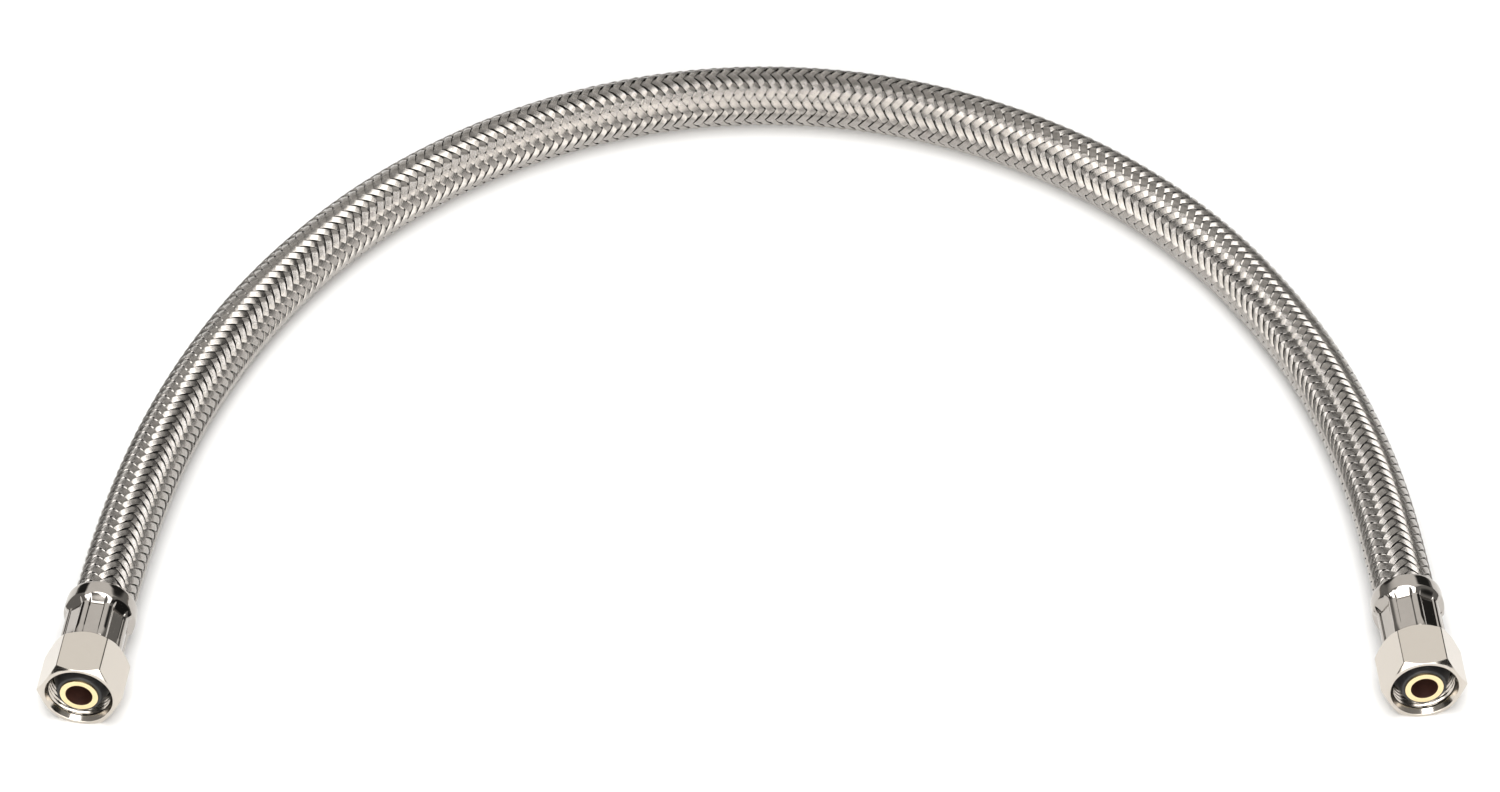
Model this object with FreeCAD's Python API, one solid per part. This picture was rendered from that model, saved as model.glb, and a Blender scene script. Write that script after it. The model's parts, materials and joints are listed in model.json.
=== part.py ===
import FreeCAD, Part
import math
import os

# Braided water supply line: a reinforced hose with a swivelling compression
# nut on each end.  Millimetres, +Z up, the line lying on the plane Z = 0.
# The origin is midway between the two fittings; both mouths face -Y.

os.makedirs("parts", exist_ok=True)
Vector = FreeCAD.Vector
UP = Vector(0, 0, 1)

# ---------------------------------------------------------------- hose layers
BRAID_RADIUS = 6.55          # outside of the steel braid
YARN_RADIUS = 5.85           # braid on yarn
TUBE_RADIUS = 5.4            # yarn on inner tube
TUBE_BORE = 4.0              # inside of the inner tube, on the stem's barbs
CRIMPED_BRAID_RADIUS = 5.9   # the same three surfaces, pressed by the ferrule
CRIMPED_YARN_RADIUS = 5.45
CRIMPED_TUBE_RADIUS = 5.1

# ------------------------------------------------------- nut and its own sizes
NUT_FLATS = 15.875           # 5/8 in across flats
NUT_LENGTH = 12.1
NUT_MOUTH_RADIUS = 7.85      # flat rim outside, where the front cone ends
NUT_FRONT_CONE = 1.0         # length of the front cone, at the corners
NUT_REAR_RADIUS = 7.3        # flat rim outside, at the rear
NUT_REAR_CONE = 2.05         # length of the rear cone, at the corners
THREAD_MINOR_RADIUS = 6.55   # 9/16-24 UNEF, at the crests of the inside thread
LEAD_IN_RADIUS = 7.25        # countersink at the mouth
THREAD_DEPTH = 8.9           # end of the threaded wall
CHAMBER_RADIUS = 6.0         # plain space behind the thread
REAR_HOLE_RADIUS = 4.5       # loose on the stem's neck

# -------------------- depths, each measured back from the mouth of the nut
NOSE_DEPTH = 0.45
WASHER_DEPTH = 0.8
WASHER_EDGE_DEPTH = 5.0
FLANGE_DEPTH = 6.6
FLANGE_BACK_DEPTH = 7.8
FERRULE_DEPTH = NUT_LENGTH + 0.1
FERRULE_WALL = 1.0
HOSE_END_DEPTH = FERRULE_DEPTH + FERRULE_WALL
CRIMP_END_DEPTH = 22.6
FREE_HOSE_DEPTH = 24.3
FERRULE_BACK_DEPTH = 27.1
STEM_BACK_DEPTH = 26.0

# ----------------------------------------------------------------- brass stem
NOSE_RADIUS = 4.05
NOSE_BEVEL = 0.2
NECK_RADIUS = 4.2            # seat of the washer, and neck behind the flange
FLANGE_RADIUS = 5.6
GROOVE_RADIUS = 3.8          # the ferrule's front wall is locked in here
WATERWAY_RADIUS = 2.85
WATERWAY_DEPTH = 12.0        # the bore narrows here, before the barbed tail
TAIL_BORE_RADIUS = 2.4
BARB_RADIUS = TUBE_BORE
BARB_ROOT_RADIUS = 3.6
BARB_COUNT = 5

# ------------------------------------------------------- washer, ring, ferrule
WASHER_FRONT_RADIUS = 4.75
WASHER_RADIUS = 6.25
RING_RADIUS = 5.7
RING_THICKNESS = 0.7
RUNNING_GAP = 0.05           # ring on neck, ring on nut, ring at full travel
SLIDE_TRAVEL = 1.5           # how far nut and ring slide towards the mouth
CRIMP_SIDES = 8
CRIMP_FLATS = 12.85
CRIMP_RIDGE_RADIUS = 6.85    # the ridges between the crimped flats are rounded
BAND_RADIUS = 7.65           # the band of the ferrule that no die touches
BAND_BORE = 6.7
BAND_CONE = 1.8
BAND_BEVEL = 0.3
LEFT_CRIMP_ROLL = -2.0       # degrees that the crimped flats stand off level
RIGHT_CRIMP_ROLL = 14.0

# ------------------------------------------------------------- the hose's lie
LYING = BRAID_RADIUS         # height of the axis where the hose lies flat
HELD = NUT_FLATS / 2         # height of the axis where a nut lies on its flat
ROUTE = [
    (-138.4, -1.2, HELD),
    (-133.6, 32.3, HELD),
    (-122.6, 74.0, LYING),
    (-104.5, 110.2, LYING),
    (-78.7, 140.8, LYING),
    (-45.5, 163.0, LYING),
    (-7.8, 173.4, LYING),
    (31.6, 170.3, LYING),
    (67.8, 154.2, LYING),
    (97.8, 127.8, LYING),
    (119.0, 93.2, LYING),
    (130.4, 59.5, LYING),
    (135.9, 27.9, HELD),
    (138.7, 0.9, HELD),
]
CORNER_SHARE = 0.45          # share of the shorter run that an arc takes up


def turned(profile):
    """Ring turned about a fitting's axis from (radius, depth) corners."""
    corners = [Vector(radius, 0, -depth) for radius, depth in profile]
    outline = Part.makePolygon(corners + corners[:1])
    return Part.Face(outline).revolve(Vector(0, 0, 0), UP, 360)


def prism(sides, flats, front, back, roll):
    """Bar of regular section, one flat facing the fitting's up side at roll 0."""
    corner_radius = flats / 2 / math.cos(math.pi / sides)
    corners = []
    for side in range(sides):
        angle = math.radians(90 + roll) + (2 * side + 1) * math.pi / sides
        corners.append(Vector(corner_radius * math.cos(angle),
                              corner_radius * math.sin(angle), -back))
    face = Part.Face(Part.makePolygon(corners + corners[:1]))
    return face.extrude(Vector(0, 0, back - front))


def coupling_nut():
    """Hexagon nut: coned at both ends, threaded mouth, wall behind with a hole."""
    corner = NUT_FLATS / 2 / math.cos(math.pi / 6)
    envelope = turned([
        (0, 0),
        (NUT_MOUTH_RADIUS, 0),
        (corner, NUT_FRONT_CONE),
        (corner, NUT_LENGTH - NUT_REAR_CONE),
        (NUT_REAR_RADIUS, NUT_LENGTH),
        (0, NUT_LENGTH),
    ])
    chamber_back = ring_depth() + RING_THICKNESS + RUNNING_GAP
    inside = turned([
        (0, 0),
        (LEAD_IN_RADIUS, 0),
        (THREAD_MINOR_RADIUS, LEAD_IN_RADIUS - THREAD_MINOR_RADIUS),
        (THREAD_MINOR_RADIUS, THREAD_DEPTH),
        (CHAMBER_RADIUS, THREAD_DEPTH),
        (CHAMBER_RADIUS, chamber_back),
        (REAR_HOLE_RADIUS, chamber_back),
        (REAR_HOLE_RADIUS, NUT_LENGTH),
        (0, NUT_LENGTH),
    ])
    bar = prism(6, NUT_FLATS, 0, NUT_LENGTH, 0)
    return bar.common(envelope).cut(inside)


def ring_depth():
    """Depth of the ring's front face with the nut pushed fully back."""
    return FLANGE_BACK_DEPTH + SLIDE_TRAVEL + RUNNING_GAP


def friction_ring():
    """Flat ring between the stem's flange and the nut's rear wall."""
    front = ring_depth()
    back = front + RING_THICKNESS
    bore = NECK_RADIUS + RUNNING_GAP
    return turned([(bore, front), (RING_RADIUS, front), (RING_RADIUS, back), (bore, back)])


def cone_washer():
    """Rubber cone that seals on the valve's seat; it sits against the flange."""
    return turned([
        (NECK_RADIUS, WASHER_DEPTH),
        (WASHER_FRONT_RADIUS, WASHER_DEPTH),
        (WASHER_RADIUS, WASHER_EDGE_DEPTH),
        (WASHER_RADIUS, FLANGE_DEPTH),
        (NECK_RADIUS, FLANGE_DEPTH),
    ])


def stem():
    """Brass insert: nose, flange, neck, locking groove and barbed tail."""
    profile = [
        (WATERWAY_RADIUS, NOSE_DEPTH),
        (NOSE_RADIUS - NOSE_BEVEL, NOSE_DEPTH),
        (NOSE_RADIUS, NOSE_DEPTH + NOSE_BEVEL),
        (NOSE_RADIUS, WASHER_DEPTH),
        (NECK_RADIUS, WASHER_DEPTH),
        (NECK_RADIUS, FLANGE_DEPTH),
        (FLANGE_RADIUS, FLANGE_DEPTH),
        (FLANGE_RADIUS, FLANGE_BACK_DEPTH),
        (NECK_RADIUS, FLANGE_BACK_DEPTH),
        (NECK_RADIUS, FERRULE_DEPTH),
        (GROOVE_RADIUS, FERRULE_DEPTH),
        (GROOVE_RADIUS, HOSE_END_DEPTH),
    ]
    barb_length = (STEM_BACK_DEPTH - HOSE_END_DEPTH) / BARB_COUNT
    for barb in range(BARB_COUNT):
        front = HOSE_END_DEPTH + barb * barb_length
        profile.append((BARB_RADIUS, front))
        profile.append((BARB_ROOT_RADIUS, front + barb_length))
    profile.append((TAIL_BORE_RADIUS, STEM_BACK_DEPTH))
    profile.append((TAIL_BORE_RADIUS, WATERWAY_DEPTH))
    profile.append((WATERWAY_RADIUS, WATERWAY_DEPTH))
    return turned(profile)


def ferrule(roll):
    """Steel sleeve, crimped to eight flats, with a round band on the hose side."""
    flats = prism(CRIMP_SIDES, CRIMP_FLATS, FERRULE_DEPTH, FREE_HOSE_DEPTH, roll)
    ridges = turned([
        (0, FERRULE_DEPTH),
        (CRIMP_RIDGE_RADIUS, FERRULE_DEPTH),
        (CRIMP_RIDGE_RADIUS, FREE_HOSE_DEPTH),
        (0, FREE_HOSE_DEPTH),
    ])
    band_front = CRIMP_END_DEPTH - BAND_CONE / 2
    band = turned([
        (0, band_front),
        (CRIMP_FLATS / 2 - BAND_BEVEL, band_front),
        (BAND_RADIUS, band_front + BAND_CONE),
        (BAND_RADIUS, FERRULE_BACK_DEPTH - BAND_BEVEL),
        (BAND_RADIUS - BAND_BEVEL, FERRULE_BACK_DEPTH),
        (0, FERRULE_BACK_DEPTH),
    ])
    inside = turned([
        (0, FERRULE_DEPTH),
        (GROOVE_RADIUS, FERRULE_DEPTH),
        (GROOVE_RADIUS, HOSE_END_DEPTH),
        (CRIMPED_BRAID_RADIUS, HOSE_END_DEPTH),
        (CRIMPED_BRAID_RADIUS, CRIMP_END_DEPTH),
        (BAND_BORE, FREE_HOSE_DEPTH),
        (BAND_BORE, FERRULE_BACK_DEPTH),
        (0, FERRULE_BACK_DEPTH),
    ])
    return flats.common(ridges).fuse(band).cut(inside).removeSplitter()


def end_frame(hose_end, next_point):
    """Mouth centre and outward direction of the fitting on one end of the hose."""
    outward = (hose_end - next_point).normalize()
    mouth = hose_end + outward * HOSE_END_DEPTH
    return mouth, outward


def placed(shape, mouth, outward):
    """Copy of a fitting's piece, moved from the axis it was turned on to its end."""
    piece = shape.copy()
    turn = FreeCAD.Rotation(UP.cross(outward), UP, outward, "ZYX")
    piece.Placement = FreeCAD.Placement(mouth, turn)
    return piece


def route_corner(before, corner, after):
    """Start, middle, end, radius and angle of the arc that rounds one corner."""
    way_in = corner - before
    way_out = after - corner
    half_turn = way_in.getAngle(way_out) / 2
    setback = CORNER_SHARE * min(way_in.Length, way_out.Length)
    radius = setback / math.tan(half_turn)
    way_in.normalize()
    way_out.normalize()
    start = corner - way_in * setback
    end = corner + way_out * setback
    inward = (way_out - way_in).normalize()
    middle = corner + inward * (radius / math.cos(half_turn) - radius)
    return start, middle, end, radius, 2 * half_turn


def route_wire(points):
    """Straight runs joined by tangent arcs; prints the radius of every arc."""
    edges = []
    here = points[0]
    for before, corner, after in zip(points, points[1:], points[2:]):
        start, middle, end, radius, angle = route_corner(before, corner, after)
        print("arc radius %.1f mm over %.1f degrees" % (radius, math.degrees(angle)))
        edges.append(Part.LineSegment(here, start).toShape())
        edges.append(Part.Arc(start, middle, end).toShape())
        here = end
    edges.append(Part.LineSegment(here, points[-1]).toShape())
    return Part.Wire(edges)


def swept(path, radius):
    """Round bar along the path."""
    start = path.Edges[0].firstVertex().Point
    heading = path.Edges[0].tangentAt(path.Edges[0].FirstParameter)
    section = Part.Wire([Part.makeCircle(radius, start, heading)])
    return path.makePipeShell([section], True, False)


def hose_layer(path, ends, outer, inner, crimped_outer, crimped_inner):
    """One layer of the hose: the free length, and its ends inside the ferrules."""
    layer = swept(path, outer).cut(swept(path, inner))
    section_area = math.pi * (outer ** 2 - inner ** 2)
    share = layer.Volume / (section_area * path.Length)
    print("volume over section times length: %.4f" % share)
    pressed = turned([
        (crimped_inner, HOSE_END_DEPTH),
        (crimped_outer, HOSE_END_DEPTH),
        (crimped_outer, CRIMP_END_DEPTH),
        (outer, FREE_HOSE_DEPTH),
        (inner, FREE_HOSE_DEPTH),
        (crimped_inner, CRIMP_END_DEPTH),
    ])
    pieces = [placed(pressed, mouth, outward) for mouth, outward in ends]
    return layer.multiFuse(pieces)


def write(name, shape):
    """Write one node, and stop if it isn't a single closed solid."""
    if len(shape.Solids) != 1 or not shape.isValid():
        raise ValueError("%s is not one valid solid" % name)
    solid = shape.Solids[0]
    solid.exportStep("parts/%s.step" % name)
    box = solid.BoundBox
    print("%-22s %8.1f mm3  x %.2f..%.2f  y %.2f..%.2f  z %.2f..%.2f" % (
        name, solid.Volume, box.XMin, box.XMax, box.YMin, box.YMax, box.ZMin, box.ZMax))


def main():
    points = [Vector(*point) for point in ROUTE]
    left = end_frame(points[0], points[1])
    right = end_frame(points[-1], points[-2])

    ends = {"left": (left, LEFT_CRIMP_ROLL), "right": (right, RIGHT_CRIMP_ROLL)}
    for side, ((mouth, outward), crimp_roll) in ends.items():
        print(side, "mouth", tuple(mouth), "outward", tuple(outward))
        write(side + "_coupling_nut", placed(coupling_nut(), mouth, outward))
        write(side + "_friction_ring", placed(friction_ring(), mouth, outward))
        write(side + "_cone_washer", placed(cone_washer(), mouth, outward))
        write(side + "_stem", placed(stem(), mouth, outward))
        write(side + "_ferrule", placed(ferrule(crimp_roll), mouth, outward))

    hose_in_ferrule = FREE_HOSE_DEPTH - HOSE_END_DEPTH
    points[0] = points[0] - left[1] * hose_in_ferrule
    points[-1] = points[-1] - right[1] * hose_in_ferrule
    path = route_wire(points)
    print("hose length between the stems' grooves %.1f mm" % (path.Length + 2 * hose_in_ferrule))
    print("overall length mouth to mouth %.1f mm" % (path.Length + 2 * FREE_HOSE_DEPTH))

    both = (left, right)
    write("steel_braid", hose_layer(path, both, BRAID_RADIUS, YARN_RADIUS,
                                    CRIMPED_BRAID_RADIUS, CRIMPED_YARN_RADIUS))
    write("yarn_layer", hose_layer(path, both, YARN_RADIUS, TUBE_RADIUS,
                                   CRIMPED_YARN_RADIUS, CRIMPED_TUBE_RADIUS))
    write("inner_tube", hose_layer(path, both, TUBE_RADIUS, TUBE_BORE,
                                   CRIMPED_TUBE_RADIUS, TUBE_BORE))


main()
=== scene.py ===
import json
import math

import bpy
import numpy as np
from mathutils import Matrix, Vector


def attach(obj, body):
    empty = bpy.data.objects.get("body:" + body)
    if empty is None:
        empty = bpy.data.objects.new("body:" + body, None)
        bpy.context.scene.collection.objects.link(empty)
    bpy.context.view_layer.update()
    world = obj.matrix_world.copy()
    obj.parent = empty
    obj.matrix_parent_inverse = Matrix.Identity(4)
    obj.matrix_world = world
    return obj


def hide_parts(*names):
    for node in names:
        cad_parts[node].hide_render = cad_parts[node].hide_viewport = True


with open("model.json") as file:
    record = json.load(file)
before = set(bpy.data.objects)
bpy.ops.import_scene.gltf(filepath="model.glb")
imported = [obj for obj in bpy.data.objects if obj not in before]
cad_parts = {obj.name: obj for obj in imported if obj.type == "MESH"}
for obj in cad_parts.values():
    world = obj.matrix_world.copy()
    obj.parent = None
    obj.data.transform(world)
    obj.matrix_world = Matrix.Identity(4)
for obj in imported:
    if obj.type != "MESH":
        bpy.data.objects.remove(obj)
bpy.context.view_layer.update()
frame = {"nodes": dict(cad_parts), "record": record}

MM = 0.001
TURN = 2 * math.pi

# --------------------------------------------------------------- the hose's route
# In metres: the same points as the CAD model's.
HELD = 0.0079375             # height of the centreline where a nut holds it up
LYING = 0.00655              # and where the hose lies on the floor
ROUTE = [
    (-0.1384, -0.0012, HELD),
    (-0.1336, 0.0323, HELD),
    (-0.1226, 0.0740, LYING),
    (-0.1045, 0.1102, LYING),
    (-0.0787, 0.1408, LYING),
    (-0.0455, 0.1630, LYING),
    (-0.0078, 0.1734, LYING),
    (0.0316, 0.1703, LYING),
    (0.0678, 0.1542, LYING),
    (0.0978, 0.1278, LYING),
    (0.1190, 0.0932, LYING),
    (0.1304, 0.0595, LYING),
    (0.1359, 0.0279, HELD),
    (0.1387, 0.0009, HELD),
]

# Sizes of the pieces are in millimetres. Depths run back along a fitting's axis
# from the rim of its mouth.

# ------------------------------------------------------------------ coupling nut
NUT_FLATS = 15.875           # across the flats
NUT_CORNER = NUT_FLATS / 2 / math.cos(TURN / 12)
NUT_CORNER_ROUND = 0.45      # radius of the rounds between the flats
NUT_LENGTH = 12.1
MOUTH_RADIUS = 7.85          # outer edge of the front face
FRONT_CONE = 1.0             # length of the front cone at the corners, along the axis
REAR_RADIUS = 7.3            # outer edge of the rear face
REAR_CONE = 2.05             # length of the rear cone there
REAR_ROUND = 0.07            # size of the round between the rear cone and face
LEAD_IN = 7.25               # inner edge of the front face
LEAD_IN_SLOPE = 0.62         # how fast the countersink narrows with depth
CHAMBER = 6.0                # radius of the space behind the thread
CHAMBER_BACK = 10.1          # depth where the rear wall starts
REAR_HOLE = 4.5              # radius of the hole, loose on the stem's neck

THREAD_PITCH = 25.4 / 24     # 24 turns to the inch
THREAD_MINOR = 6.55          # radius at the crests
THREAD_MAJOR = 7.14          # and at the roots
THREAD_DEPTH = 8.9           # end of the threaded wall
THREAD_START = 1.1           # the groove starts here and deepens over its run-in
THREAD_RUN_IN = 0.5
THREAD_STOP = 8.4            # the groove is gone here, after its run-out
THREAD_RUN_OUT = 0.9
THREAD_STEEPNESS = 1.25      # of the flanks: enough to leave a flat root
THREAD_CREST = 0.12          # above 0 leaves a flat crest
RINGS_PER_PITCH = 14

EDGE = 0.1                   # size of the small rounds on turned edges
HOLD = 0.05                  # a ring this close to an edge keeps its shading crisp
NIP = 0.01                   # how far a sharp edge is blunted
CREASE_WIDTH = 0.09          # the round where a cone meets a flat
CREASE_DROP = 0.012          # how deep that round cuts
FLAT_MARGIN = 0.25           # the other rings of a flat keep this far from its creases

# --------------------------------------------------------- brass stem and washer
# Radii, and the depths where each part starts or ends.
NOSE_DEPTH = 0.45
NOSE = 4.05
NECK = 4.2
NECK_FRONT = 1.5
FLANGE = 5.6
FLANGE_FRONT = 6.6
FLANGE_BACK = 7.8
GROOVE = 3.8                 # the ferrule's front wall is locked in here
BARB = 4.0
BARB_ROOT = 3.6
BARBS = 5
STEM_BACK = 26.0
WATERWAY = 2.85
WATERWAY_END = 12.0
TAIL_BORE = 2.4
BORE_START = 0.5             # the painted shade on the waterway's wall starts behind the nose's face
BORE_REACH = 3.0             # and holds the faces nearer the axis than this

WASHER_FRONT = 0.8
WASHER_LIP = 4.6
WASHER_LIP_BEVEL = (0.18, 0.2)       # outwards, and back
WASHER_RADIUS = 6.25         # behind its edge, where the cone ends
WASHER_EDGE = 5.0            # depth of that edge
WASHER_EDGE_BEVEL = (0.15, 0.3)      # inwards, and forwards
NOSE_HOLE = NOSE + 0.03      # the rubber stands just off the brass
NECK_HOLE = NECK + 0.02

# --------------------------------------------------------------- crimped ferrule
FERRULE_FRONT = 12.2
FERRULE_BACK = 27.1
HOSE_END = 13.2
CRIMPS = 8
COLUMNS_PER_CRIMP = 40
CRIMP_FLAT = 6.42            # from the axis to a crimped flat
CRIMP_SINK = 0.05            # how far the press squeezed the flats below that
RIDGE_HALF = math.radians(9.5)
RIDGE_HEIGHT = 0.42
DIE_STEP = 0.18              # how much deeper the die's edge presses each flat
DIE_EDGE = 0.5               # how far before the slope that edge is
FRONT_ROUND = ((0.9, 0.0), (0.35, 0.03), (0.1, 0.15))       # inwards, and back
FRONT_ROUND_END = 0.2
SLOPE_FOOT = 21.7            # the slope up to the band starts here on every side
SLOPE_TOP = 22.45            # and ends here over a ridge, and later over a flat
SLOPE_ARCH = 1.05            # how much later
SLOPE_SMOOTHING = 0.15       # share of an S-curve in the straight slope
SLOPE_RINGS = 11
BAND = 7.65                  # outside radius of the band
BAND_ROUND = (                # forwards from the back, and inwards
    (3.35, 0.0), (2.5, 0.0), (1.6, 0.0), (0.9, 0.02),
    (0.5, 0.08), (0.25, 0.18), (0.1, 0.32), (0.02, 0.5),
)
BAND_BORE = 6.7              # radius of the bore inside the band, round the free hose
BAND_BORE_END = 24.4
CRIMP_BORE = 5.95            # and further in, round the pressed hose
CRIMP_BORE_END = 22.6
ROLLS = {"left": -2.0, "right": 14.0}      # turn of each ferrule's flats, in degrees

# -------------------------------------------------------------------------- hose
# Radii of the hose's layers, free and pressed by the ferrule.
FREE_RADII = (4.0, 5.4, 5.85, 6.55)
PRESSED_RADII = (4.0, 5.1, 5.45, 5.9)
PRESSED_LENGTH = 9.4         # hose pressed inside the ferrule, from its end
PRESS_TAPER = 1.7            # length over which it widens again
SLEEVE_RADII = (5.8, 5.43)   # outside and inside of the yarn sleeve
TUBE_RADII = (5.4, 4.03)     # and of the water tube

# The braid: strands each way, each a flat ribbon of parallel wires.
STRANDS_EACH_WAY = 12
STRANDS_IN_PIECE = 3
STRAND_PITCH = 2.41          # along the hose, between strands of one direction
STRAND_CROWN = 0.12          # how much lower a strand's edges lie than its middle
STRAND_BASE = 0.9            # width of a strand's underside, as a share of its top
LEAD = STRANDS_EACH_WAY * STRAND_PITCH      # hose length in which a strand goes round once
BRAID_MIDDLE = 6.22          # radius half way between over and under
WEAVE_HEIGHT = 0.23          # how far a strand rises and dips from there
WEAVE_STEEPNESS = 1.6        # above 1 keeps it level across each pair of strands
SECTION_STEP = 0.53          # along the hose, between sections of a strand
WIRES = 6
WIRE_PITCH = 0.256
WIRE_HEIGHT = 0.06
WIRE_VALLEY = -0.45          # depth between two wires, as a share of their height
WIRE_ARCH = ((0.2, 0.55), (0.5, 1.0), (0.8, 0.55))      # shares across and upwards


# --------------------------------------------------------------------- mesh code
def add_mesh(name, points, faces, smooth_angle=40):
    """A mesh object from points in metres and lists of corner numbers."""
    mesh = bpy.data.meshes.new(name)
    mesh.from_pydata(points, [], faces)
    mesh.shade_smooth()
    mesh.set_sharp_from_angle(angle=math.radians(smooth_angle))
    piece = bpy.data.objects.new(name, mesh)
    bpy.context.scene.collection.objects.link(piece)
    return piece


def grid_faces(rows, columns, rows_closed, first=0):
    """Four-cornered faces of a grid that closes round its columns."""
    last_row = rows if rows_closed else rows - 1
    row, column = np.meshgrid(np.arange(last_row), np.arange(columns), indexing="ij")
    row_after, column_after = (row + 1) % rows, (column + 1) % columns
    corners = [row * columns + column, row * columns + column_after,
               row_after * columns + column_after, row_after * columns + column]
    return (np.stack(corners, axis=-1).reshape(-1, 4) + first).tolist()


def ring_piece(name, points, smooth_angle=40):
    """A closed ring-like skin from a (rows, columns, 3) array, closed both ways."""
    rows, columns, _ = points.shape
    faces = grid_faces(rows, columns, True)
    return add_mesh(name, points.reshape(-1, 3).tolist(), faces, smooth_angle)


# ------------------------------------------------------------------ the fittings
class Fitting:
    """One end's axis, from the record's mount: depths run back from the mouth."""

    def __init__(self, side):
        mount = next(m for m in frame["record"]["mounts"] if m["name"] == side + "_thread")
        self.mouth = np.array(mount["pos_m"])
        self.outward = np.array(mount["axis"])
        self.up = np.array((0.0, 0.0, 1.0))
        self.across = np.cross(self.up, self.outward)

    def place(self, radius, angle, depth):
        """Points in metres from radius and depth in millimetres and angle in radians."""
        radius, angle, depth = np.broadcast_arrays(radius, angle, depth)
        across = (radius * np.cos(angle))[..., None] * self.across
        up = (radius * np.sin(angle))[..., None] * self.up
        return self.mouth + (across + up - depth[..., None] * self.outward) * MM


class Rings:
    """Rings of points round a fitting's axis, gathered in order into a closed skin."""

    def __init__(self, angle):
        self.angle = angle
        self.radii = []
        self.depths = []

    def add(self, radius, depth):
        """One ring: each of radius and depth is a number or an array over the angles."""
        level = np.zeros_like(self.angle)
        self.radii.append(radius + level)
        self.depths.append(depth + level)

    def piece(self, fitting, name, smooth_angle):
        """The skin as a mesh object."""
        points = fitting.place(np.array(self.radii), self.angle, np.array(self.depths))
        return ring_piece(name, points, smooth_angle)


def softened(profile):
    """The closed (radius, depth) profile with each corner cut to a small round."""
    corners = np.array(profile, float)
    before, after = np.roll(corners, 1, axis=0), np.roll(corners, -1, axis=0)
    longest = 0.4            # share of a side that one corner's round may take
    soft = []
    for point, back, ahead in zip(corners, before, after):
        way_back, way_ahead = back - point, ahead - point
        reach_back, reach_ahead = np.linalg.norm(way_back), np.linalg.norm(way_ahead)
        size = min(EDGE, longest * reach_back, longest * reach_ahead)
        start = point + way_back / reach_back * size
        end = point + way_ahead / reach_ahead * size
        for share in (0, 0.5, 1):
            near, far = start + (point - start) * share, point + (end - point) * share
            soft.append(near + (far - near) * share)
    return np.array(soft)


def lathe(fitting, name, profile, columns=96):
    """A turned ring from a closed (radius, depth) profile in millimetres."""
    soft = softened(profile)
    angle = np.arange(columns) * TURN / columns
    return ring_piece(name, fitting.place(soft[:, :1], angle, soft[:, 1:]))


def hexagon_outline(points_per_flat=15):
    """Angles and radii round a hexagon with rounded corners, one flat upwards."""
    sixth = TURN / 6
    half_flat = NUT_FLATS / 2
    straight = (half_flat - NUT_CORNER_ROUND) * math.tan(sixth / 2)
    centre = (half_flat - NUT_CORNER_ROUND) / math.cos(sixth / 2)
    outline = []
    for side in range(6):
        flat_turn = TURN / 4 + side * sixth
        for along in straight * np.linspace(-1, 1, points_per_flat):
            outline.append((half_flat * math.cos(flat_turn) - along * math.sin(flat_turn),
                            half_flat * math.sin(flat_turn) + along * math.cos(flat_turn)))
        corner_turn = flat_turn + sixth / 2
        for step in (-0.375, 0.0, 0.375):      # of a sixth, either side of the corner
            turn = corner_turn + step * sixth
            outline.append((centre * math.cos(corner_turn) + NUT_CORNER_ROUND * math.cos(turn),
                            centre * math.sin(corner_turn) + NUT_CORNER_ROUND * math.sin(turn)))
    outline = np.array(outline)
    return np.arctan2(outline[:, 1], outline[:, 0]), np.hypot(outline[:, 0], outline[:, 1])


def thread_radius(angle, depth):
    """Inside wall of the nut: a thread with small flats that runs out at both ends."""
    phase = (depth / THREAD_PITCH - angle / TURN) % 1.0
    ridge = np.abs(2 * phase - 1)
    tooth = np.clip(THREAD_STEEPNESS * ridge - THREAD_CREST, 0, 1)
    run_in = np.clip((depth - THREAD_START) / THREAD_RUN_IN, 0, 1)
    run_out = np.clip((THREAD_STOP - depth) / THREAD_RUN_OUT, 0, 1)
    return THREAD_MINOR + (THREAD_MAJOR - THREAD_MINOR) * tooth * run_in * run_out


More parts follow.
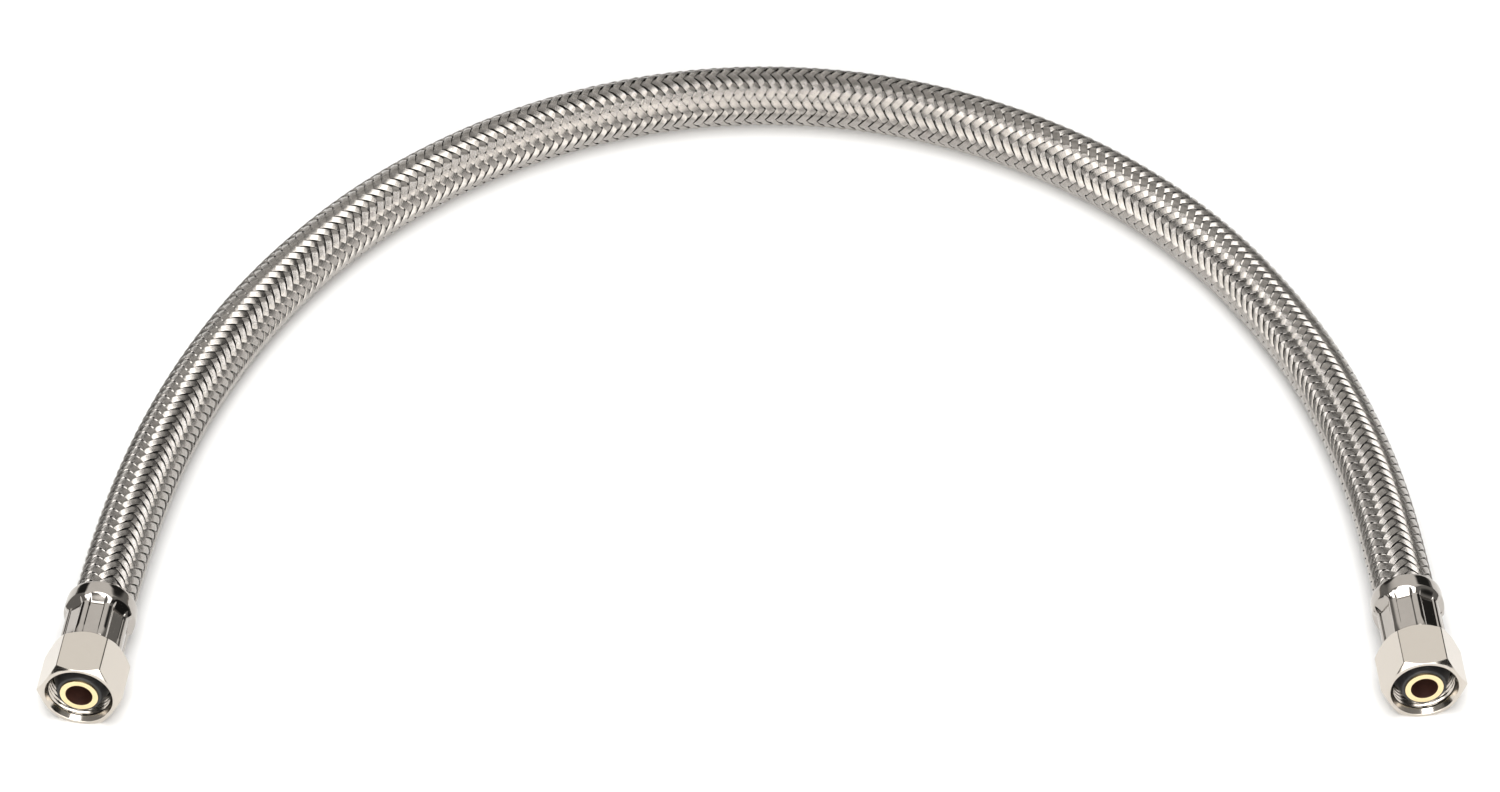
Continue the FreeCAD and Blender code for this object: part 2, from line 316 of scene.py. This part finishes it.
def coupling_nut(fitting, name):
    """Plated hexagon nut with coned ends, a threaded mouth and a rear wall."""
    angle, full = hexagon_outline()
    front_slope = (NUT_CORNER - MOUTH_RADIUS) / FRONT_CONE
    rear_slope = (NUT_CORNER - REAR_RADIUS) / REAR_CONE
    front = (full - MOUTH_RADIUS) / front_slope
    rear = NUT_LENGTH - (full - REAR_RADIUS) / rear_slope
    rings = Rings(angle)

    # Front face and cone.
    rings.add(LEAD_IN - NIP, 2 * NIP)
    for radius in (LEAD_IN + HOLD, (LEAD_IN + MOUTH_RADIUS) / 2, MOUTH_RADIUS - HOLD - NIP):
        rings.add(radius, 0.0)
    rings.add(MOUTH_RADIUS - NIP, NIP / 2)
    for share in (0.25, 0.5, 0.75, 0.94):
        rings.add(MOUTH_RADIUS + (full - MOUTH_RADIUS) * share, front * share)

    # Flats.
    rings.add(full - CREASE_DROP, front + NIP)
    rings.add(full, front + CREASE_WIDTH)
    for share in np.linspace(0, 1, 5):
        rings.add(full, front + FLAT_MARGIN + (rear - front - 2 * FLAT_MARGIN) * share)
    rings.add(full, rear - CREASE_WIDTH)
    rings.add(full - CREASE_DROP, rear - NIP)

    # Rear cone.
    for shift in (HOLD, HOLD + CREASE_WIDTH):
        rings.add(full - rear_slope * shift, rear + shift)
    for share in (0.4, 0.8):
        rings.add(full + (REAR_RADIUS - full) * share, rear + (NUT_LENGTH - rear) * share)
    rings.add(REAR_RADIUS + REAR_ROUND - NIP, NUT_LENGTH - REAR_ROUND)
    rings.add(REAR_RADIUS - REAR_ROUND - NIP, NUT_LENGTH)

    # Rear wall and chamber.
    for radius, depth in (
        (CHAMBER, NUT_LENGTH),
        (REAR_HOLE + EDGE, NUT_LENGTH),
        (REAR_HOLE, NUT_LENGTH - EDGE),
        (REAR_HOLE, CHAMBER_BACK + EDGE),
        (REAR_HOLE + EDGE, CHAMBER_BACK),
        (CHAMBER - EDGE, CHAMBER_BACK),
        (CHAMBER, CHAMBER_BACK - EDGE),
        (CHAMBER, THREAD_DEPTH + EDGE),
        (CHAMBER + EDGE, THREAD_DEPTH),
        (THREAD_MINOR - HOLD, THREAD_DEPTH),
    ):
        rings.add(radius, depth)

    # Thread and countersink.
    for depth in np.arange(THREAD_DEPTH - EDGE, EDGE, -THREAD_PITCH / RINGS_PER_PITCH):
        countersink = LEAD_IN - LEAD_IN_SLOPE * depth
        rings.add(np.maximum(thread_radius(angle, depth), countersink), depth)
    return rings.piece(fitting, name, smooth_angle=45)


def cone_washer(fitting, name):
    """Moulded rubber cone with a small lip at its front edge."""
    lip_out, lip_back = WASHER_LIP_BEVEL
    edge_in, edge_front = WASHER_EDGE_BEVEL
    profile = [
        (NOSE_HOLE, WASHER_FRONT),
        (WASHER_LIP, WASHER_FRONT),
        (WASHER_LIP + lip_out, WASHER_FRONT + lip_back),
        (WASHER_RADIUS - edge_in, WASHER_EDGE - edge_front),
        (WASHER_RADIUS, WASHER_EDGE),
        (WASHER_RADIUS, FLANGE_FRONT),
        (NECK_HOLE, FLANGE_FRONT),
        (NECK_HOLE, NECK_FRONT),
        (NOSE_HOLE, NECK_FRONT - 2 * EDGE),
    ]
    return lathe(fitting, name, profile)


def stem(fitting, name):
    """Brass insert: nose, washer seat, flange, neck, groove and barbed tail."""
    profile = [
        (WATERWAY, NOSE_DEPTH),
        (NOSE, NOSE_DEPTH),
        (NOSE, NECK_FRONT - EDGE),
        (NECK, NECK_FRONT),
        (NECK, FLANGE_FRONT),
        (FLANGE, FLANGE_FRONT),
        (FLANGE, FLANGE_BACK),
        (NECK, FLANGE_BACK),
        (NECK, FERRULE_FRONT),
        (GROOVE, FERRULE_FRONT),
        (GROOVE, HOSE_END),
    ]
    barb_length = (STEM_BACK - HOSE_END) / BARBS
    for index in range(BARBS):
        profile.append((BARB, HOSE_END + index * barb_length))
        profile.append((BARB_ROOT, HOSE_END + (index + 1) * barb_length))
    profile.append((TAIL_BORE, STEM_BACK))
    profile.append((TAIL_BORE, WATERWAY_END + EDGE))
    profile.append((WATERWAY, WATERWAY_END))
    return lathe(fitting, name, profile)


def paint_bore_shade(piece, fitting, material):
    """Second material on the faces of the waterway: painted shade, a dark colour where the bore
    lies in shadow.
    """
    piece.data.materials.append(material)
    for face in piece.data.polygons:
        arm = np.array(face.center) - fitting.mouth
        depth = -arm @ fitting.outward
        reach = np.linalg.norm(arm + depth * fitting.outward)
        if reach < BORE_REACH * MM and depth > BORE_START * MM:
            face.material_index = 1


def ferrule(fitting, name, roll):
    """Polished sleeve: eight crimped flats with round ridges between, and a band."""
    columns = CRIMPS * COLUMNS_PER_CRIMP
    angle = np.arange(columns) * TURN / columns
    half_pitch = TURN / CRIMPS / 2
    top_flat = TURN / 4 + math.radians(roll)
    off_flat = np.abs((angle - top_flat + half_pitch) % (2 * half_pitch) - half_pitch)
    from_ridge = np.clip((half_pitch - off_flat) / RIDGE_HALF, 0, 1)
    beside = np.minimum(off_flat, half_pitch - RIDGE_HALF)
    ridge = RIDGE_HEIGHT * np.sqrt(1 - from_ridge ** 2)
    crimped = CRIMP_FLAT / np.cos(beside) - CRIMP_SINK + ridge
    pressed = crimped - DIE_STEP * from_ridge ** 2
    slope_top = SLOPE_TOP + SLOPE_ARCH * np.sqrt(1 - np.minimum(off_flat / half_pitch, 1) ** 2)
    rings = Rings(angle)

    # Front wall and crimped length.
    rings.add(GROOVE, FERRULE_FRONT)
    for inwards, back in FRONT_ROUND:
        rings.add(crimped - inwards, FERRULE_FRONT + back)
    crimp_start, crimp_end = FERRULE_FRONT + FRONT_ROUND_END, SLOPE_FOOT - DIE_EDGE
    for share in (0.02, 0.3, 0.6, 0.9, 1.0):
        rings.add(crimped, crimp_start + (crimp_end - crimp_start) * share)

    # The step of the die, the slope and the band.
    for step in np.linspace(0, 1, SLOPE_RINGS):
        smooth = step * step * (3 - 2 * step)
        blend = step + SLOPE_SMOOTHING * (smooth - step)
        radius = pressed + (BAND - 3 * NIP - pressed) * blend
        rings.add(radius, SLOPE_FOOT + (slope_top - SLOPE_FOOT) * step)
    for forwards, inwards in BAND_ROUND:
        rings.add(BAND - inwards, FERRULE_BACK - forwards)

    # Inside.
    for radius, depth in (
        (BAND_BORE + EDGE, FERRULE_BACK),
        (BAND_BORE, FERRULE_BACK - EDGE),
        (BAND_BORE, BAND_BORE_END),
        (CRIMP_BORE, CRIMP_BORE_END),
        (CRIMP_BORE, HOSE_END + EDGE),
        (CRIMP_BORE - EDGE, HOSE_END),
        (GROOVE, HOSE_END),
    ):
        rings.add(radius, depth)
    return rings.piece(fitting, name, smooth_angle=50)


# ---------------------------------------------------------------------- the hose
def route_line():
    """The hose's centreline: points read from a NURBS spline through the route."""
    curve = bpy.data.curves.new("hose_route", "CURVE")
    curve.dimensions = "3D"
    curve.resolution_u = 24
    spline = curve.splines.new("NURBS")
    spline.points.add(len(ROUTE) - 1)
    for point, place in zip(spline.points, ROUTE):
        point.co = (*place, 1)
    spline.order_u = 3
    spline.use_endpoint_u = True
    holder = bpy.data.objects.new("hose_route", curve)
    bpy.context.scene.collection.objects.link(holder)
    bpy.context.view_layer.update()
    mesh = bpy.data.meshes.new_from_object(holder)
    line = np.array([vertex.co for vertex in mesh.vertices], float)
    bpy.data.meshes.remove(mesh)
    bpy.data.objects.remove(holder)
    return line


class Centreline:
    """Places on the hose from length along it, angle round it and radius."""

    def __init__(self, line):
        self.line = line
        steps = np.linalg.norm(np.diff(line, axis=0), axis=1)
        self.along = np.concatenate([[0.0], np.cumsum(steps)]) / MM
        self.length = self.along[-1]
        heading = np.gradient(line, self.along, axis=0)
        heading /= np.linalg.norm(heading, axis=1)[:, None]
        side = np.cross(heading, (0.0, 0.0, 1.0))
        self.side = side / np.linalg.norm(side, axis=1)[:, None]
        self.up = np.cross(self.side, heading)

    def read(self, table, along):
        """Rows of a table over the line, read between its points."""
        columns = [np.interp(along, self.along, table[:, axis]) for axis in range(3)]
        return np.stack(columns, axis=-1)

    def place(self, along, angle, radius):
        """Points in metres; angle 0 is the hose's upper side; the ferrules press it."""
        end = np.minimum(along, self.length - along)
        pressed = np.clip((PRESSED_LENGTH + PRESS_TAPER - end) / PRESS_TAPER, 0, 1)
        narrow = np.interp(radius, FREE_RADII, PRESSED_RADII)
        radius = radius + (narrow - radius) * pressed
        up = (radius * np.cos(angle))[..., None] * self.read(self.up, along)
        side = (radius * np.sin(angle))[..., None] * self.read(self.side, along)
        return self.read(self.line, along) + (up + side) * MM


def strand_section():
    """Cross-section of one strand: (across, height) points, wires side by side."""
    half = WIRES * WIRE_PITCH / 2
    points = []
    for wire in range(WIRES):
        left = wire * WIRE_PITCH - half
        points.append((left, WIRE_VALLEY * WIRE_HEIGHT))
        for across, upwards in WIRE_ARCH:
            points.append((left + across * WIRE_PITCH, upwards * WIRE_HEIGHT))
    points.append((half, WIRE_VALLEY * WIRE_HEIGHT))
    points.append((half * STRAND_BASE, -WIRE_HEIGHT))
    points.append((-half * STRAND_BASE, -WIRE_HEIGHT))
    section = np.array(points)
    section[:, 1] -= STRAND_CROWN * (section[:, 0] / half) ** 2
    return section


def strand_points(centre, index, way):
    """(sections, corners, 3) points of one strand; way is +1 or -1 round the hose."""
    across, height = strand_section().T
    slope = math.atan(TURN * BRAID_MIDDLE / LEAD)
    count = int(centre.length / SECTION_STEP)
    along = np.linspace(0, centre.length, count)[:, None]
    angle = way * TURN * along / LEAD + index * TURN / STRANDS_EACH_WAY
    angle = angle + way * across * math.cos(slope) / BRAID_MIDDLE
    along = along - across * math.sin(slope)
    crossing = (angle + way * TURN * along / LEAD) * STRANDS_EACH_WAY / TURN
    weave = np.cos((index + crossing - 0.5) * TURN / 4)
    weave = way * np.sin(np.clip(WEAVE_STEEPNESS * weave, -1, 1) * TURN / 4)
    radius = BRAID_MIDDLE + WEAVE_HEIGHT * weave + height
    return centre.place(np.clip(along, 0, centre.length), angle, radius)


def strand_faces(sections, corners, first, way):
    """Faces of one strand and of its two ends, all turned outwards."""
    last = first + (sections - 1) * corners
    faces = grid_faces(sections, corners, False, first)
    faces.append(list(range(first + corners - 1, first - 1, -1)))
    faces.append(list(range(last, last + corners)))
    return faces if way > 0 else [face[::-1] for face in faces]


def braid(centre):
    """The woven braid, as pieces of a few strands each."""
    pieces = []
    groups = STRANDS_EACH_WAY // STRANDS_IN_PIECE
    for way in (1, -1):
        for group in range(groups):
            points, faces, first = [], [], 0
            for member in range(STRANDS_IN_PIECE):
                strand = strand_points(centre, group + member * groups, way)
                sections, corners, _ = strand.shape
                faces += strand_faces(sections, corners, first, way)
                points.append(strand.reshape(-1, 3))
                first += sections * corners
            name = "steel_braid_%d" % (len(pieces) + 1)
            pieces.append(add_mesh(name, np.concatenate(points).tolist(), faces, smooth_angle=75))
    return pieces


def hose_tube(centre, name, radii, columns):
    """A plain layer of the hose with closed ends, from its outer and inner radius."""
    angle = np.arange(columns) * TURN / columns
    walls = []
    for radius, along in zip(radii, (centre.along, centre.along[::-1])):
        grid = np.broadcast_arrays(along[:, None], angle[None, :])
        walls.append(centre.place(grid[0], grid[1], np.full(grid[0].shape, radius)))
    return ring_piece(name, np.concatenate(walls))


# --------------------------------------------------------------------- materials
MIX_FACTOR, MIX_FROM, MIX_TO, MIX_RESULT = 0, 2, 3, 0            # a Mix node's sockets
COLOUR_FROM, COLOUR_TO, COLOUR_RESULT = 6, 7, 2                  # and for colours


class Nodes:
    """A material's node tree, with short calls for adding and joining nodes."""

    def __init__(self, name):
        self.material = bpy.data.materials.new(name)
        self.material.use_nodes = True
        self.tree = self.material.node_tree
        self.shader = self.tree.nodes["Principled BSDF"]

    def add(self, kind, **inputs):
        node = self.tree.nodes.new(kind)
        for name, value in inputs.items():
            node.inputs[name.replace("_", " ")].default_value = value
        return node

    def join(self, source, output, target, socket):
        self.tree.links.new(source.outputs[output], target.inputs[socket])

    def set(self, **inputs):
        for name, value in inputs.items():
            self.shader.inputs[name.replace("_", " ")].default_value = value

    def noise(self, **inputs):
        """Noise that keeps its place on the piece."""
        node = self.add("ShaderNodeTexNoise", **inputs)
        self.join(self.add("ShaderNodeTexCoord"), "Object", node, "Vector")
        return node

    def vary_colour(self, noise, light, dark):
        colour = self.add("ShaderNodeMix")
        colour.data_type = "RGBA"
        colour.inputs[COLOUR_FROM].default_value = (*dark, 1)
        colour.inputs[COLOUR_TO].default_value = (*light, 1)
        self.join(noise, "Fac", colour, MIX_FACTOR)
        self.join(colour, COLOUR_RESULT, self.shader, "Base Color")

    def vary_gloss(self, noise, smooth, rough, **span):
        gloss = self.add("ShaderNodeMapRange", To_Min=smooth, To_Max=rough, **span)
        self.join(noise, "Fac", gloss, "Value")
        self.join(gloss, "Result", self.shader, "Roughness")

    def roughen_skin(self, noise, strength, height):
        bump = self.add("ShaderNodeBump", Strength=strength, Distance=height)
        self.join(noise, "Fac", bump, "Height")
        self.join(bump, "Normal", self.shader, "Normal")


def metal(name, light, dark, smooth, rough, grain, height):
    """Metal with a fine grain, uneven in colour and gloss in patches eight times as wide."""
    nodes = Nodes(name)
    nodes.set(Metallic=1.0)
    patches = nodes.noise(Scale=grain / 8, Detail=6.0, Roughness=0.6)
    nodes.vary_colour(patches, light, dark)
    nodes.vary_gloss(patches, smooth, rough, From_Min=0.3, From_Max=0.7)
    nodes.roughen_skin(nodes.noise(Scale=grain, Detail=4.0), strength=0.35, height=height)
    return nodes.material


def rubber(name, light, dark, smooth, rough):
    """Rubber, yarn or plastic with a faint bloom and a fine moulded skin."""
    nodes = Nodes(name)
    bloom = nodes.noise(Scale=700.0, Detail=5.0)
    nodes.vary_colour(bloom, light, dark)
    nodes.vary_gloss(bloom, smooth, rough)
    nodes.roughen_skin(nodes.noise(Scale=4000.0, Detail=3.0), strength=0.3, height=0.00002)
    return nodes.material


def satin_nickel():
    """Warm satin plating of the nuts."""
    return metal("satin_nickel", light=(0.60, 0.555, 0.50), dark=(0.575, 0.53, 0.475),
                 smooth=0.15, rough=0.175, grain=5000.0, height=0.000003)


def polished_stainless():
    """Polished steel of the ferrules, darker than the plating."""
    return metal("polished_stainless", light=(0.45, 0.42, 0.39), dark=(0.38, 0.355, 0.33),
                 smooth=0.05, rough=0.10, grain=4000.0, height=0.000002)


def turned_brass():
    """Pale yellow brass of the stems."""
    return metal("turned_brass", light=(0.92, 0.76, 0.46), dark=(0.88, 0.71, 0.40),
                 smooth=0.16, rough=0.26, grain=5000.0, height=0.000003)


def braid_wire():
    """Drawn stainless wire, uneven in tone along each strand."""
    return metal("braid_wire", light=(0.53, 0.50, 0.468), dark=(0.30, 0.285, 0.27),
                 smooth=0.11, rough=0.2, grain=2400.0, height=0.000004)


def painted_shade_bore():
    """Painted shade: a dull red-brown colour that stands for the shade inside the brass waterway.
    """
    return rubber("painted_shade_bore", light=(0.060, 0.020, 0.012), dark=(0.022, 0.008, 0.006),
                  smooth=0.45, rough=0.6)


def black_rubber():
    """The cone washers."""
    return rubber("black_rubber", light=(0.014, 0.014, 0.015), dark=(0.007, 0.007, 0.008),
                  smooth=0.35, rough=0.5)


def yarn_painted_shade():
    """A real textile sleeve under the braid, seen only between its strands; its dark colour is
    painted shade for the gaps.
    """
    return rubber("yarn_painted_shade", light=(0.05, 0.047, 0.044), dark=(0.02, 0.019, 0.018),
                  smooth=0.7, rough=0.9)


def tube_rubber():
    """The water tube."""
    return rubber("tube_rubber", light=(0.06, 0.06, 0.062), dark=(0.03, 0.03, 0.031),
                  smooth=0.4, rough=0.6)


def ring_nylon():
    """The friction rings."""
    return rubber("ring_nylon", light=(0.78, 0.77, 0.73), dark=(0.70, 0.69, 0.65),
                  smooth=0.35, rough=0.5)


def paint(piece, material):
    """Gives a piece one material in place of any it had."""
    piece.data.materials.clear()
    piece.data.materials.append(material)


# -------------------------------------------------------------- light and camera
DOME_LEVEL = 0.26
DOME_TINT = (1.0, 0.985, 0.955)
DOME_PATCHES = (              # direction, degrees to its full and faded edge, level
    ((0, 0.717, 0.697), 24, 50, 1.09),
    ((0, -0.93, 0.36), 24, 40, 3.9),
    ((0.53, 0.76, 0.37), 13, 20, 0.03),
    ((-0.55, 0.79, 0.27), 9, 15, 0.03),
    ((0.79, -0.58, 0.17), 20, 26, 0.02),
    ((-0.79, -0.58, 0.17), 20, 26, 0.02),
)
DOME_SEEN = 1.0              # level where the camera sees the dome directly


def patch_edge(tree, place, direction, full, faded):
    """How far into a soft-edged round patch of the dome a direction is, 0 to 1."""
    dot = tree.nodes.new("ShaderNodeVectorMath")
    dot.operation = "DOT_PRODUCT"
    dot.inputs[1].default_value = Vector(direction).normalized()
    tree.links.new(place.outputs["Generated"], dot.inputs[0])
    edge = tree.nodes.new("ShaderNodeMapRange")
    edge.interpolation_type = "SMOOTHSTEP"
    edge.inputs["From Min"].default_value = math.cos(math.radians(faded))
    edge.inputs["From Max"].default_value = math.cos(math.radians(full))
    tree.links.new(dot.outputs["Value"], edge.inputs["Value"])
    return edge


def dome():
    """A studio dome: a level of light, and soft-edged patches lighter or darker."""
    world = bpy.data.worlds.new("studio")
    bpy.context.scene.world = world
    world.use_nodes = True
    tree = world.node_tree
    tree.nodes.clear()
    place = tree.nodes.new("ShaderNodeTexCoord")
    level = None
    for direction, full, faded, value in DOME_PATCHES:
        edge = patch_edge(tree, place, direction, full, faded)
        mix = tree.nodes.new("ShaderNodeMix")
        mix.inputs[MIX_FROM].default_value = DOME_LEVEL
        mix.inputs[MIX_TO].default_value = value
        tree.links.new(edge.outputs["Result"], mix.inputs[MIX_FACTOR])
        if level is not None:
            tree.links.new(level.outputs[MIX_RESULT], mix.inputs[MIX_FROM])
        level = mix
    seen = tree.nodes.new("ShaderNodeLightPath")
    shown = tree.nodes.new("ShaderNodeMix")
    shown.inputs[MIX_TO].default_value = DOME_SEEN
    tree.links.new(seen.outputs["Is Camera Ray"], shown.inputs[MIX_FACTOR])
    tree.links.new(level.outputs[MIX_RESULT], shown.inputs[MIX_FROM])
    light = tree.nodes.new("ShaderNodeBackground")
    light.inputs["Color"].default_value = (*DOME_TINT, 1)
    tree.links.new(shown.outputs[MIX_RESULT], light.inputs["Strength"])
    end = tree.nodes.new("ShaderNodeOutputWorld")
    tree.links.new(light.outputs["Background"], end.inputs["Surface"])


def key_light():
    """A wide soft box overhead, nearer the camera, tilted to the floor in front."""
    place = Vector((0, -0.85, 2.1))
    data = bpy.data.lights.new("key_light", "AREA")
    data.shape = "RECTANGLE"
    data.size = 1.2
    data.size_y = 2.4
    data.energy = 40.0
    holder = bpy.data.objects.new("key_light", data)
    holder.location = place
    holder.rotation_euler = (math.atan2(place.y, place.z), 0, 0)
    bpy.context.scene.collection.objects.link(holder)


def floor():
    """A plain pale floor."""
    half = 3.0
    corners = [(-half, -half, 0), (half, -half, 0), (half, half, 0), (-half, half, 0)]
    piece = add_mesh("floor", corners, [(0, 1, 2, 3)])
    nodes = Nodes("pale_floor")
    nodes.set(Base_Color=(0.93, 0.93, 0.93, 1), Roughness=0.8)
    paint(piece, nodes.material)


def camera():
    """Looks along +Y and down, from far enough away to be nearly without perspective."""
    aim = Vector((-0.0005, 0.0838, 0.0))
    height = math.radians(44.2)
    distance = 2.277
    data = bpy.data.cameras.new("camera")
    data.sensor_width = 36.0
    data.lens = 253.8
    data.clip_end = 20.0
    holder = bpy.data.objects.new("camera", data)
    holder.location = aim + distance * Vector((0, -math.cos(height), math.sin(height)))
    holder.rotation_euler = (math.pi / 2 - height, 0, 0)
    bpy.context.scene.collection.objects.link(holder)
    bpy.context.scene.camera = holder


# ------------------------------------------------------------------ put together
def finish(piece, material, body, node):
    """Paints a piece, attaches it to the body it rides on and hides the CAD node it stands in
    for.
    """
    paint(piece, material)
    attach(piece, body)
    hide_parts(node)


def build_ends():
    """Nut, washer, stem and ferrule of each end, and its CAD friction ring's look."""
    nickel, black, brass = satin_nickel(), black_rubber(), turned_brass()
    steel, bore, nylon = polished_stainless(), painted_shade_bore(), ring_nylon()
    for side, roll in ROLLS.items():
        fitting = Fitting(side)
        nut = coupling_nut(fitting, side + "_nut")
        finish(nut, nickel, side + "_nut", side + "_coupling_nut")
        washer = cone_washer(fitting, side + "_washer")
        finish(washer, black, "hose", side + "_cone_washer")
        insert = stem(fitting, side + "_brass_stem")
        finish(insert, brass, "hose", side + "_stem")
        # Painted shade: the waterway's faces get the dark red-brown colour.
        paint_bore_shade(insert, fitting, bore)
        sleeve = ferrule(fitting, side + "_crimped_ferrule", roll)
        finish(sleeve, steel, "hose", side + "_ferrule")
        paint(frame["nodes"][side + "_friction_ring"], nylon)


def build_hose():
    """The yarn sleeve, the water tube and the braid, all riding on the hose body."""
    centre = Centreline(route_line())
    sleeve = hose_tube(centre, "yarn_sleeve", SLEEVE_RADII, columns=72)
    # The sleeve's dark colour is painted shade between the braid's strands.
    finish(sleeve, yarn_painted_shade(), "hose", "yarn_layer")
    water_tube = hose_tube(centre, "water_tube", TUBE_RADII, columns=48)
    finish(water_tube, tube_rubber(), "hose", "inner_tube")
    strands = braid(centre)
    wire = braid_wire()
    for piece in strands:
        finish(piece, wire, "hose", "steel_braid")


build_ends()
build_hose()
floor()
key_light()
dome()
camera()
bpy.context.scene.view_settings.view_transform = "Standard"
